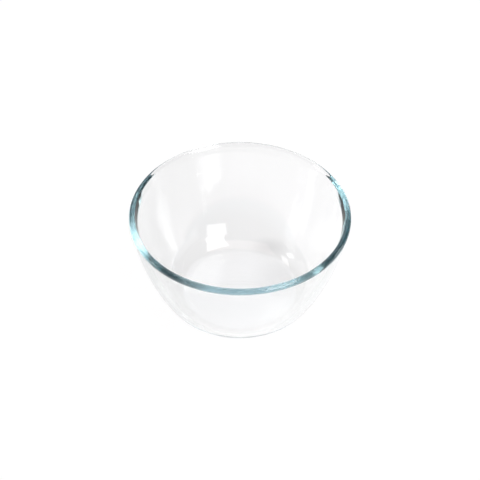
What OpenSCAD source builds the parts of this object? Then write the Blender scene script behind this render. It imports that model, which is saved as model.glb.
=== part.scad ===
// Round pressed-glass mixing bowl with a rolled rim bead, standing on the XY plane with its axis on Z.
// The bowl is one pressing. Its three zones, base, side wall and rim, meet on flat planes.

/* [Bowl] */
// Outside diameter over the rim bead
rim_d = 140; // [120:1:200]
// Height from the table to the top of the rim
bowl_h = 72; // [64:1:80]

/* [Side wall] */
// Thickness of the side wall
wall_t = 4.5; // [3.5:0.1:6]
// Radius of the wall's outside curve in section
wall_curve_r = 168; // [150:1:260]
// Outward lean of the wall at its top, in degrees
wall_lean = 8.8; // [6:0.1:12]
// How far the top of the wall stands in from the outside of the rim
wall_inset = 1.15; // [0.8:0.05:2]

/* [Rim] */
// Height of the rim zone, from the top of the wall up
rim_h = 8; // [7.5:0.1:12]
// Width of the rolled bead across its round top
bead_w = 3.9; // [3:0.1:4.4]
// Height of the rolled bead on the outside
bead_h = 4.5; // [4.5:0.1:6]
// Outward lean of the flared inside of the rim, in degrees
flare_lean = 20; // [16:0.5:24]
// Radius of the bend where the inside starts to flare
flare_r = 12; // [8:0.5:16]

/* [Base] */
// Height of the base zone, up to where the wall begins
base_h = 24; // [22:1:40]
// Thickness of the floor inside the bowl
floor_t = 4.8; // [4:0.1:8]
// Radius of the rounded heel outside
heel_r = 23.3; // [14:0.1:27]
// Radius of the round between floor and wall inside
inner_heel_r = 19; // [14:0.5:26]
// Width of the flat ring that the bowl stands on
foot_ring_w = 5; // [3:0.5:10]
// Depth of the shallow dished hollow inside the foot ring
foot_hollow = 0.6; // [0.3:0.1:2]

/* [Hidden] */

// Facets of a full turn about the axis and of the arcs in section
turn_fn = 180;
arc_fn = 360;

// How far each round crosses the lines that it blends, so that they meet at a point
round_overlap = 0.01;

// Where the rim sits on the wall
wall_top_z = bowl_h - rim_h;
wall_top_r = rim_d / 2 - wall_inset;

// Centre [r, z] that the wall's outside and inside curves share
curve_centre = [
    wall_top_r - wall_curve_r * cos(wall_lean),
    wall_top_z + wall_curve_r * sin(wall_lean)
];
inside_curve_r = wall_curve_r - wall_t;

// Centres [r, z] of the bead's rounds, at its top and at its lower outside edge
bead_r = bead_w / 2;
bead_out_r = rim_d / 2 - bead_r + round_overlap;
bead_top = [bead_out_r, bowl_h - bead_r + round_overlap];
bead_low = [bead_out_r, bowl_h - bead_h + bead_r - round_overlap];

// The flare's straight line in section: its direction up, its side towards the glass and its top end
flare_up = [sin(flare_lean), cos(flare_lean)];
flare_side = [cos(flare_lean), -sin(flare_lean)];
flare_top = bead_top - (bead_r - round_overlap) * flare_side;

// Centre [r, z] of the bend that joins the flare to the wall's inside curve
flare_bend = bend_centre(
    flare_top + (flare_r - round_overlap) * flare_side,
    inside_curve_r + flare_r - round_overlap
);

// Radius of the flat underside, and of the dished hollow in it
base_r = heel_centre(wall_curve_r, heel_r, 0)[0];
dish_r = base_r - foot_ring_w;
dish_curve_r = (dish_r ^ 2 + foot_hollow ^ 2) / (2 * foot_hollow);

// Centre [r, z] of a heel round that blends a wall curve into a flat at bottom_z
function heel_centre(curve_r, round_r, bottom_z) =
    let (
        z = bottom_z + round_r - round_overlap,
        reach = curve_r - round_r + round_overlap
    )
    [curve_centre[0] + sqrt(reach ^ 2 - (curve_centre[1] - z) ^ 2), z];

// Point [r, z] down along the flare from a start, at a given distance from the wall's curve centre
function bend_centre(start, reach) =
    let (
        gap = start - curve_centre,
        half = gap * flare_up,
        run = half - sqrt(half ^ 2 - gap * gap + reach ^ 2)
    )
    start - run * flare_up;

// Bearing in degrees of one point from another
function bearing(from, to) = atan2(to[1] - from[1], to[0] - from[0]);

// Cutter for a corner: the wedge between two directions from the centre, less the round that stays
module corner_cut(centre, round_r, from, to) {
    reach = 2 * round_r;
    difference() {
        polygon(concat(
            [centre],
            [for (a = [from, (from + to) / 2, to]) centre + reach * [cos(a), sin(a)]]
        ));
        translate(centre) circle(r = round_r, $fn = arc_fn);
    }
}

// Everything inside one of the wall's curves
module curve_disc(curve_r) {
    translate(curve_centre) circle(r = curve_r, $fn = arc_fn);
}

// Half section of everything inside one skin: flat bottom, heel round, then the wall curve up to top_z
module skin_section(curve_r, round_r, bottom_z, top_z) {
    heel = heel_centre(curve_r, round_r, bottom_z);
    difference() {
        intersection() {
            curve_disc(curve_r);
            translate([0, bottom_z]) square([rim_d, top_z - bottom_z]);
        }
        corner_cut(heel, round_r, -90, bearing(curve_centre, heel));
    }
}

// Half section of the glass below the rim
module glass_section() {
    difference() {
        skin_section(wall_curve_r, heel_r, 0, wall_top_z);
        skin_section(inside_curve_r, inner_heel_r, floor_t, bowl_h);
        translate([0, foot_hollow - dish_curve_r]) circle(r = dish_curve_r, $fn = arc_fn);
    }
}

// Half section of the rim before its inside is cut: the wall carried up, and the bead
module rim_blank() {
    intersection() {
        curve_disc(wall_curve_r);
        translate([0, wall_top_z]) square([rim_d, bead_low[1] - wall_top_z]);
    }
    difference() {
        translate([rim_d / 2 - 2 * bead_w, bowl_h - bead_h]) square([2 * bead_w, bead_h]);
        corner_cut(bead_low, bead_r, -90, 0);
    }
}

// Half section of the rim: the blank, less the flared inside and what lies over the bead's round top
module rim_section() {
    difference() {
        rim_blank();
        curve_disc(inside_curve_r);
        polygon([
            flare_top + bead_w * flare_up,
            flare_top - rim_h * flare_up,
            flare_top - rim_h * flare_up - [rim_h, 0],
            flare_top + bead_w * flare_up - [rim_h, 0]
        ]);
        corner_cut(flare_bend, flare_r, 180 - flare_lean, 180 + bearing(curve_centre, flare_bend));
        corner_cut(bead_top, bead_r, 0, 180 - flare_lean);
    }
}

// One zone of the glass between two heights
module glass_zone(low_z, high_z) {
    rotate_extrude($fn = turn_fn) intersection() {
        glass_section();
        translate([0, low_z]) square([rim_d, high_z - low_z]);
    }
}

module base() {
    color("azure", 0.4) glass_zone(0, base_h);
}

module side_wall() {
    color("azure", 0.4) glass_zone(base_h, wall_top_z);
}

module rim_bead() {
    color("cadetblue", 0.6) rotate_extrude($fn = turn_fn) rim_section();
}

base();
side_wall();
rim_bead();
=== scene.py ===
"""Looks of the pressed-glass mixing bowl: one turned piece of clear, faintly teal glass on a table."""

import math

import bpy
from mathutils import Matrix, Vector


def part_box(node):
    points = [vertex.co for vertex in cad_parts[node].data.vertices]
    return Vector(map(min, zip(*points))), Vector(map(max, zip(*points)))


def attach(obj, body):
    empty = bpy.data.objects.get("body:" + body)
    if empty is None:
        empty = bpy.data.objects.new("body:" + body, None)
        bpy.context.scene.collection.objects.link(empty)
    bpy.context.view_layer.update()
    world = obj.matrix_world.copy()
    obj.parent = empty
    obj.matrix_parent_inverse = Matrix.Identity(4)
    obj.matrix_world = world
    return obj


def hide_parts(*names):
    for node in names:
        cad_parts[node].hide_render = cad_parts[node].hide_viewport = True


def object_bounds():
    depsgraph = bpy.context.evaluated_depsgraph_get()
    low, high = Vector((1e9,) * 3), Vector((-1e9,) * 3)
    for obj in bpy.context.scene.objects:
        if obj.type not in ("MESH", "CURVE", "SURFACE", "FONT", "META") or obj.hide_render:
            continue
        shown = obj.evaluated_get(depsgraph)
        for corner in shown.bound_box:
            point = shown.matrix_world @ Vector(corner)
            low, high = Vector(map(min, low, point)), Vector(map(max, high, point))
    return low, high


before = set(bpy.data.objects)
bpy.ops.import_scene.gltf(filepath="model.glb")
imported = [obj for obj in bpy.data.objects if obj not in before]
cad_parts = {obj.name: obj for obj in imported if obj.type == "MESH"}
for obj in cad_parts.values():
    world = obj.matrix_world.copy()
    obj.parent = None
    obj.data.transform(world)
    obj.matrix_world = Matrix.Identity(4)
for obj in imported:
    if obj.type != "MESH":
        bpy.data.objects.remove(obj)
cad_low, cad_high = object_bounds()

# Sizes in metres, from the frame and then from the bowl's section
RIM_RADIUS = cad_high.x
BOWL_HEIGHT = cad_high.z
WALL_TOP_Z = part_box("rim_bead")[0].z
WALL_TOP_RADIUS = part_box("side_wall")[1].x
WALL_THICKNESS = 0.0045
WALL_CURVE_RADIUS = 0.168
WALL_LEAN = math.radians(8.8)
BEAD_RADIUS = 0.00195
BEAD_HEIGHT = 0.0045
FLARE_LEAN = math.radians(20)
FLARE_RADIUS = 0.012
FLOOR_THICKNESS = 0.0048
HEEL_RADIUS = 0.0233
INNER_HEEL_RADIUS = 0.019
FOOT_RING_WIDTH = 0.005
FOOT_HOLLOW = 0.0006

# Steps of the turned mesh, the small plane that its first point is merged from, and the limit for doubles
TURN_STEPS = 256
ARC_STEP = math.radians(5)
FEWEST_STEPS = 6
CREASE = math.radians(25)
START_SIZE = 0.001
MERGE_DISTANCE = 1e-6

# The glass: its tint by depth, and the faint waves that pressing leaves on its skin
GLASS_IOR = 1.5
GLASS_TINT = (0.52, 0.77, 0.81, 1.0)
TINT_DENSITY = 7.0
WAVES_PER_METRE = 55.0
WAVE_DETAIL = 1.0
WAVE_HEIGHT = 0.00005
WAVE_STRENGTH = 0.5

# The table, with the thin gap of air that stays under the bowl
TABLE_SIZE = 3.0
TABLE_GAP = 0.0002
TABLE_GREY = (0.1, 0.1, 0.1, 1.0)
TABLE_ROUGHNESS = 0.1
TABLE_IOR = 1.45

# Glow of the table, its brightness as the glass shows it, with painted light in it: its level from left to
# right, lighter on the right where the key falls, and its fade with distance from a place behind the bowl
GLOW_COLOUR = (1.0, 0.987, 0.985, 1.0)
PAINTED_LIGHT_ACROSS = {"span": (-0.10, 0.09), "levels": (0.80, 0.888)}
PAINTED_LIGHT_CENTRE = (0.0, 0.25, 0.0)
PAINTED_LIGHT_FADE = {"span": (0.35, 1.3), "levels": (1.0, 0.4)}

# Soft pools of light and shade on the table
POOL_IN_FRONT = {"centre": (0.0, -0.14), "radii": (0.25, 0.15), "level": 0.22}
POOL_BEHIND = {"centre": (0.074, 0.050), "radii": (0.034, 0.030), "level": 0.12}
SHADE_UNDER_HEEL = {"centre": (0.021, 0.042), "radii": (0.018, 0.014), "level": -0.145}
SHADE_UNDER_FLOOR = {"centre": (0.028, 0.012), "radii": (0.026, 0.030), "level": -0.10}

# What the camera itself sees of the table: a white one with a trace of the bowl's shadow
PURE_WHITE = (1.0, 1.0, 1.0, 1.0)
CAMERA_GLOW = 0.93
SHADOW_SHARE = 0.3

# The room round the table: its light at the horizon and above a height, and its cast seen through the glass
ROOM_LOW = (0.5, 0.44, 0.48, 1.0)
ROOM_HIGH = (0.05, 0.045, 0.05, 1.0)
ROOM_RISE = 0.16
ROOM_THROUGH_GLASS = (0.72, 1.02, 1.02, 1.0)

# The softboxes stand at one distance round a point inside the bowl
LAMP_DISTANCE = 1.0
LAMP_AIM = Vector((0.0, 0.0, 0.03))
WHITE_LIGHT = (1.0, 1.0, 1.0)
COOL_LIGHT = (0.97, 0.98, 1.06)
WARM_LIGHT = (1.2, 1.0, 1.0)

# Bounces enough for light that runs a long way inside the rim
BOUNCES = 48

# The photograph's view, with the sensor's width in millimetres
PHOTO_SIZE = 480
FOCAL_PIXELS = 1426.7
VIEW_DISTANCE = 0.9
VIEW_ELEVATION = math.radians(42.78)
VIEW_ROLL = math.radians(0.376)
BEAD_CENTRE_PIXEL = Vector((239.92, 214.41))
SENSOR_WIDTH = 36.0


def deselect_all():
    """Leaves nothing selected, so that an operator acts on the new piece alone."""
    if bpy.context.mode != "OBJECT":
        bpy.ops.object.mode_set(mode="OBJECT")
    bpy.ops.object.select_all(action="DESELECT")


def start_section(name, r, z):
    """A new mesh of one point on the section plane, in edit mode."""
    deselect_all()
    bpy.ops.mesh.primitive_plane_add(size=START_SIZE, location=(r, 0.0, z))
    piece = bpy.context.object
    piece.name = name
    piece.data.name = name
    bpy.ops.object.transform_apply(location=True, rotation=True, scale=True)
    bpy.ops.object.mode_set(mode="EDIT")
    bpy.ops.mesh.select_mode(type="VERT")
    bpy.ops.mesh.select_all(action="SELECT")
    bpy.ops.mesh.merge(type="CENTER")
    return piece


def line_by(step):
    """Draws the section on in a straight line, by a step [r, z]."""
    bpy.ops.mesh.extrude_region_move(TRANSFORM_OT_translate={"value": (step[0], 0.0, step[1])})


def arc_about(centre, turn):
    """Draws the section on along an arc about a centre [r, z]; a positive turn is anticlockwise."""
    bpy.ops.mesh.spin(
        steps=max(FEWEST_STEPS, math.ceil(abs(turn) / ARC_STEP)),
        angle=turn,
        center=(centre[0], 0.0, centre[1]),
        axis=(0.0, 1.0, 0.0),
    )


def bearing(origin, point):
    """Direction of one point of the section from another."""
    return math.atan2(point[1] - origin[1], point[0] - origin[0])


def heel_centre(curve, curve_radius, round_radius, bottom_z):
    """Centre of the round that runs from a flat at bottom_z into one of the wall's curves."""
    z = bottom_z + round_radius
    reach = curve_radius - round_radius
    return Vector((curve[0] + math.sqrt(reach**2 - (curve[1] - z) ** 2), z))


def flare_bend(curve, bead_top):
    """The flare's straight run up to the bead, and the centre of its bend out of the wall's inside."""
    up = Vector((math.sin(FLARE_LEAN), math.cos(FLARE_LEAN)))
    side = Vector((math.cos(FLARE_LEAN), -math.sin(FLARE_LEAN)))
    start = bead_top + (FLARE_RADIUS - BEAD_RADIUS) * side
    reach = WALL_CURVE_RADIUS - WALL_THICKNESS + FLARE_RADIUS
    half = (start - curve).dot(up)
    run = half - math.sqrt(half**2 - (start - curve).length_squared + reach**2)
    return run * up, start - run * up


def bead_edge(curve, bead_low):
    """Where the bead's lower round meets the outside of the wall."""
    gap = bead_low - curve
    along = (WALL_CURVE_RADIUS**2 - BEAD_RADIUS**2 + gap.length_squared) / (2 * gap.length)
    across = math.sqrt(WALL_CURVE_RADIUS**2 - along**2)
    return curve + (along * gap + across * Vector((gap[1], -gap[0]))) / gap.length


def make_bowl():
    """The whole bowl: a section, drawn from the floor's centre over the rim to the foot, then turned."""
    inner_curve_radius = WALL_CURVE_RADIUS - WALL_THICKNESS
    wall_top = Vector((WALL_TOP_RADIUS, WALL_TOP_Z))
    curve = wall_top + WALL_CURVE_RADIUS * Vector((-math.cos(WALL_LEAN), math.sin(WALL_LEAN)))
    inner_heel = heel_centre(curve, inner_curve_radius, INNER_HEEL_RADIUS, FLOOR_THICKNESS)
    heel = heel_centre(curve, WALL_CURVE_RADIUS, HEEL_RADIUS, 0.0)
    bead_top = Vector((RIM_RADIUS - BEAD_RADIUS, BOWL_HEIGHT - BEAD_RADIUS))
    bead_low = Vector((RIM_RADIUS - BEAD_RADIUS, BOWL_HEIGHT - BEAD_HEIGHT + BEAD_RADIUS))
    flare, bend = flare_bend(curve, bead_top)
    edge = bead_edge(curve, bead_low)
    dish_radius = heel[0] - FOOT_RING_WIDTH
    dish_curve = (dish_radius**2 + FOOT_HOLLOW**2) / (2 * FOOT_HOLLOW)

    bowl = start_section("bowl", 0.0, FLOOR_THICKNESS)
    line_by((inner_heel[0], 0.0))
    arc_about(inner_heel, math.pi / 2 + bearing(curve, inner_heel))
    arc_about(curve, bearing(curve, bend) - bearing(curve, inner_heel))
    arc_about(bend, -FLARE_LEAN - bearing(curve, bend))
    line_by(flare)
    arc_about(bead_top, FLARE_LEAN - math.pi)
    line_by(bead_low - bead_top)
    arc_about(bead_low, bearing(bead_low, edge))
    arc_about(curve, bearing(curve, heel) - bearing(curve, edge))
    arc_about(heel, -math.pi / 2 - bearing(curve, heel))
    line_by((-FOOT_RING_WIDTH, 0.0))
    arc_about((0.0, FOOT_HOLLOW - dish_curve), math.asin(dish_radius / dish_curve))

    bpy.ops.mesh.select_all(action="SELECT")
    bpy.ops.mesh.spin(steps=TURN_STEPS, angle=2 * math.pi, center=(0, 0, 0), axis=(0, 0, 1))
    bpy.ops.mesh.select_all(action="SELECT")
    bpy.ops.mesh.remove_doubles(threshold=MERGE_DISTANCE)
    bpy.ops.mesh.normals_make_consistent(inside=False)
    bpy.ops.object.mode_set(mode="OBJECT")
    bpy.ops.object.shade_smooth_by_angle(angle=CREASE)
    return bowl


def clear_glass():
    """Clear pressed glass, tinted teal by its depth, with faint waves in its skin."""
    material = bpy.data.materials.new("clear_pressed_glass")
    material.use_nodes = True
    nodes, links = material.node_tree.nodes, material.node_tree.links
    skin = nodes["Principled BSDF"]
    skin.inputs["Base Color"].default_value = PURE_WHITE
    skin.inputs["Roughness"].default_value = 0.0
    skin.inputs["IOR"].default_value = GLASS_IOR
    skin.inputs["Transmission Weight"].default_value = 1.0
    place = nodes.new("ShaderNodeTexCoord")
    waves = nodes.new("ShaderNodeTexNoise")
    waves.inputs["Scale"].default_value = WAVES_PER_METRE
    waves.inputs["Detail"].default_value = WAVE_DETAIL
    links.new(place.outputs["Object"], waves.inputs["Vector"])
    bump = nodes.new("ShaderNodeBump")
    bump.inputs["Strength"].default_value = WAVE_STRENGTH
    bump.inputs["Distance"].default_value = WAVE_HEIGHT
    links.new(waves.outputs[0], bump.inputs["Height"])
    links.new(bump.outputs["Normal"], skin.inputs["Normal"])
    depth = nodes.new("ShaderNodeVolumeAbsorption")
    depth.inputs["Color"].default_value = GLASS_TINT
    depth.inputs["Density"].default_value = TINT_DENSITY
    links.new(depth.outputs["Volume"], nodes["Material Output"].inputs["Volume"])
    return material


def soft_ramp(tree, value, span, levels):
    """A level that runs smoothly from one end of a span to the other."""
    ramp = tree.nodes.new("ShaderNodeMapRange")
    ramp.interpolation_type = "SMOOTHSTEP"
    ramp.inputs["From Min"].default_value = span[0]
    ramp.inputs["From Max"].default_value = span[1]
    ramp.inputs["To Min"].default_value = levels[0]
    ramp.inputs["To Max"].default_value = levels[1]
    tree.links.new(value, ramp.inputs["Value"])
    return ramp.outputs["Result"]


def soft_pool(tree, place, centre, radii, level):
    """Strength of a soft oval pool of light on the table, or of shade where its level is below nothing."""
    offset = tree.nodes.new("ShaderNodeVectorMath")
    offset.operation = "SUBTRACT"
    offset.inputs[1].default_value = (centre[0], centre[1], 0.0)
    tree.links.new(place, offset.inputs[0])
    scaled = tree.nodes.new("ShaderNodeVectorMath")
    scaled.operation = "DIVIDE"
    scaled.inputs[1].default_value = (radii[0], radii[1], 1.0)
    tree.links.new(offset.outputs["Vector"], scaled.inputs[0])
    length = tree.nodes.new("ShaderNodeVectorMath")
    length.operation = "LENGTH"
    tree.links.new(scaled.outputs["Vector"], length.inputs[0])
    return soft_ramp(tree, length.outputs["Value"], span=(0.0, 1.0), levels=(level, 0.0))


def combine(tree, operation, first, second):
    """Result of one sum on two node outputs."""
    node = tree.nodes.new("ShaderNodeMath")
    node.operation = operation
    tree.links.new(first, node.inputs[0])
    tree.links.new(second, node.inputs[1])
    return node.outputs[0]


def share_of(tree, value, factor):
    """A node output times a plain factor."""
    node = tree.nodes.new("ShaderNodeMath")
    node.operation = "MULTIPLY"
    node.inputs[1].default_value = factor
    tree.links.new(value, node.inputs[0])
    return node.outputs[0]


def tinted(tree, colour, tint, where):
    """A colour output, times a tint where another output is 1."""
    node = tree.nodes.new("ShaderNodeMix")
    node.data_type = "RGBA"
    node.blend_type = "MULTIPLY"
    sockets = {socket.identifier: socket for socket in [*node.inputs, *node.outputs]}
    sockets["B_Color"].default_value = tint
    tree.links.new(where, sockets["Factor_Float"])
    tree.links.new(colour, sockets["A_Color"])
    return sockets["Result_Color"]


def lay_over(tree, share, under, over, output):
    """Gives an output's surface one shader, with a share of another laid over it."""
    mix = tree.nodes.new("ShaderNodeMixShader")
    tree.links.new(share, mix.inputs["Fac"])
    tree.links.new(under.outputs[0], mix.inputs[1])
    tree.links.new(over.outputs[0], mix.inputs[2])
    tree.links.new(mix.outputs["Shader"], output.inputs["Surface"])


def painted_table_light(tree, place):
    """Level of the table's glow, with painted light: brighter on the right, fading far off, with painted
    pools of light and shade.
    """
    split = tree.nodes.new("ShaderNodeSeparateXYZ")
    tree.links.new(place, split.inputs["Vector"])
    reach = tree.nodes.new("ShaderNodeVectorMath")
    reach.operation = "DISTANCE"
    reach.inputs[1].default_value = PAINTED_LIGHT_CENTRE
    tree.links.new(place, reach.inputs[0])
    # Painted light: the table lighter on the right and dimmer far off
    across = soft_ramp(tree, split.outputs["X"], **PAINTED_LIGHT_ACROSS)
    fade = soft_ramp(tree, reach.outputs["Value"], **PAINTED_LIGHT_FADE)
    level = combine(tree, "MULTIPLY", across, fade)
    # Painted pools of light and shade: lamp light in front, light gathered by the bowl behind it, shade
    # under the heel and the floor
    for pool in (POOL_IN_FRONT, POOL_BEHIND, SHADE_UNDER_HEEL, SHADE_UNDER_FLOOR):
        level = combine(tree, "ADD", level, soft_pool(tree, place, **pool))
    return level


def white_table():
    """A glossy table whose glow carries painted light and shade. The camera sees it as plain white with a
    trace of the bowl's shadow.
    """
    material = bpy.data.materials.new("white_table")
    material.use_nodes = True
    tree = material.node_tree
    place = tree.nodes.new("ShaderNodeTexCoord")
    path = tree.nodes.new("ShaderNodeLightPath")
    surface = tree.nodes["Principled BSDF"]
    surface.inputs["Base Color"].default_value = TABLE_GREY
    surface.inputs["Roughness"].default_value = TABLE_ROUGHNESS
    surface.inputs["IOR"].default_value = TABLE_IOR
    surface.inputs["Emission Color"].default_value = GLOW_COLOUR
    plain = share_of(tree, path.outputs["Is Camera Ray"], CAMERA_GLOW)
    # The emission holds the painted light and shade, and at least plain white where the camera looks
    level = combine(tree, "MAXIMUM", painted_table_light(tree, place.outputs["Object"]), plain)
    tree.links.new(level, surface.inputs["Emission Strength"])
    white = tree.nodes.new("ShaderNodeEmission")
    white.inputs["Color"].default_value = PURE_WHITE
    share = share_of(tree, path.outputs["Is Camera Ray"], 1.0 - SHADOW_SHARE)
    lay_over(tree, share, surface, white, tree.nodes["Material Output"])
    return material


def make_table():
    """The table that the bowl stands on."""
    deselect_all()
    bpy.ops.mesh.primitive_plane_add(size=TABLE_SIZE, location=(0.0, 0.0, -TABLE_GAP))
    table = bpy.context.object
    table.name = "table"
    table.data.materials.append(white_table())


def make_softbox(name, level, aim, size, roll=0.0, seen="both", colour=WHITE_LIGHT):
    """A softbox that faces the bowl. Its level is the brightness of its face, and its angles are in degrees.

    It is aimed from an azimuth, which runs from straight behind the bowl to the right, and an elevation.
    One that is seen only mirrored lights surfaces and shows in mirror rays. One that is seen only through
    the glass shows to rays that come out of it and lights nothing else.
    """
    azimuth, elevation = math.radians(aim[0]), math.radians(aim[1])
    flat = math.cos(elevation)
    away = Vector((math.sin(azimuth) * flat, math.cos(azimuth) * flat, math.sin(elevation)))
    light = bpy.data.lights.new(name, "AREA")
    light.shape = "RECTANGLE"
    light.size, light.size_y = size
    light.color = colour
    light.energy = level * math.pi * size[0] * size[1]
    lamp = bpy.data.objects.new(name, light)
    lamp.location = LAMP_AIM + LAMP_DISTANCE * away
    facing = away.to_track_quat("Z", "Y").to_matrix()
    lamp.rotation_euler = (facing @ Matrix.Rotation(math.radians(roll), 3, "Z")).to_euler()
    lamp.visible_camera = False
    lamp.visible_diffuse = seen != "through"
    lamp.visible_glossy = seen != "through"
    lamp.visible_transmission = seen != "mirrored"
    bpy.context.collection.objects.link(lamp)


def make_lamps():
    """The studio's softboxes, named for where they stand, and those of the key for what they light."""
    make_softbox("key", level=4.5, aim=(135.2, 47), size=(0.36, 1.8), roll=-23, seen="mirrored")
    make_softbox("key_foot", level=2.6, aim=(145.5, 19.5), size=(0.475, 0.42), roll=-9)
    make_softbox("key_waist", level=3.0, aim=(141.5, 36), size=(0.5, 0.25), roll=-13, seen="mirrored")
    make_softbox("key_rim", level=9.0, aim=(137.5, 42), size=(0.36, 0.32), seen="through")
    make_softbox("overhead", level=1.3, aim=(190, 85), size=(0.9, 0.6), seen="through", colour=WARM_LIGHT)
    make_softbox("behind", level=0.9, aim=(0, 43), size=(0.85, 0.85), colour=COOL_LIGHT)
    make_softbox("left_strip", level=9.0, aim=(264, 18), size=(0.13, 0.46), seen="mirrored")
    make_softbox("left_spark", level=9.0, aim=(276, 40), size=(0.16, 0.16), seen="through")
    make_softbox("left_behind", level=0.6, aim=(308, 31), size=(0.7, 0.68))
    make_softbox("left_high", level=2.3, aim=(305, 55), size=(0.3, 0.13))
    make_softbox("right_panel", level=0.5, aim=(95, 11), size=(0.9, 0.36))
    make_softbox("right_strip", level=4.0, aim=(79, 16), size=(0.22, 0.32), roll=-35, seen="mirrored")


def make_world():
    """Dim light from the room all round, brighter near the horizon. The camera itself sees plain white."""
    world = bpy.data.worlds.new("studio")
    bpy.context.scene.world = world
    world.use_nodes = True
    tree = world.node_tree
    place = tree.nodes.new("ShaderNodeTexCoord")
    path = tree.nodes.new("ShaderNodeLightPath")
    split = tree.nodes.new("ShaderNodeSeparateXYZ")
    ramp = tree.nodes.new("ShaderNodeValToRGB")
    horizon, above = ramp.color_ramp.elements
    horizon.color = ROOM_LOW
    above.position = ROOM_RISE
    above.color = ROOM_HIGH
    tree.links.new(place.outputs["Generated"], split.inputs["Vector"])
    tree.links.new(split.outputs["Z"], ramp.inputs["Fac"])
    room = tree.nodes["Background"]
    seen_through = path.outputs["Is Transmission Ray"]
    colour = tinted(tree, ramp.outputs["Color"], ROOM_THROUGH_GLASS, seen_through)
    tree.links.new(colour, room.inputs["Color"])
    white = tree.nodes.new("ShaderNodeBackground")
    white.inputs["Color"].default_value = PURE_WHITE
    lay_over(tree, path.outputs["Is Camera Ray"], room, white, tree.nodes["World Output"])


def make_camera():
    """The photograph's viewpoint: the bead's centre falls on its own pixel, and the view rolls a little."""
    data = bpy.data.cameras.new("camera")
    data.sensor_width = SENSOR_WIDTH
    data.lens = SENSOR_WIDTH * FOCAL_PIXELS / PHOTO_SIZE
    camera = bpy.data.objects.new("camera", data)
    bpy.context.collection.objects.link(camera)
    back = Vector((0.0, -math.cos(VIEW_ELEVATION), math.sin(VIEW_ELEVATION)))
    bead_centre = Vector((0.0, 0.0, BOWL_HEIGHT - BEAD_RADIUS))
    camera.location = bead_centre + VIEW_DISTANCE * back
    offset = (BEAD_CENTRE_PIXEL - Vector((PHOTO_SIZE, PHOTO_SIZE)) / 2) / FOCAL_PIXELS
    facing = (-back).to_track_quat("-Z", "Y").to_matrix()
    turned = Matrix.Rotation(VIEW_ROLL, 3, "Z")
    tilt = Matrix.Rotation(math.atan(offset.y), 3, "X")
    pan = Matrix.Rotation(math.atan(offset.x), 3, "Y")
    camera.rotation_euler = (facing @ tilt @ pan @ turned).to_euler()
    bpy.context.scene.camera = camera


bowl = make_bowl()
bowl.data.materials.append(clear_glass())
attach(bowl, "root")
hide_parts("base", "side_wall", "rim_bead")

make_table()
make_world()
make_lamps()
make_camera()
scene = bpy.context.scene
scene.view_settings.view_transform = "Standard"
scene.cycles.max_bounces = BOUNCES
scene.cycles.transmission_bounces = BOUNCES
scene.cycles.glossy_bounces = BOUNCES
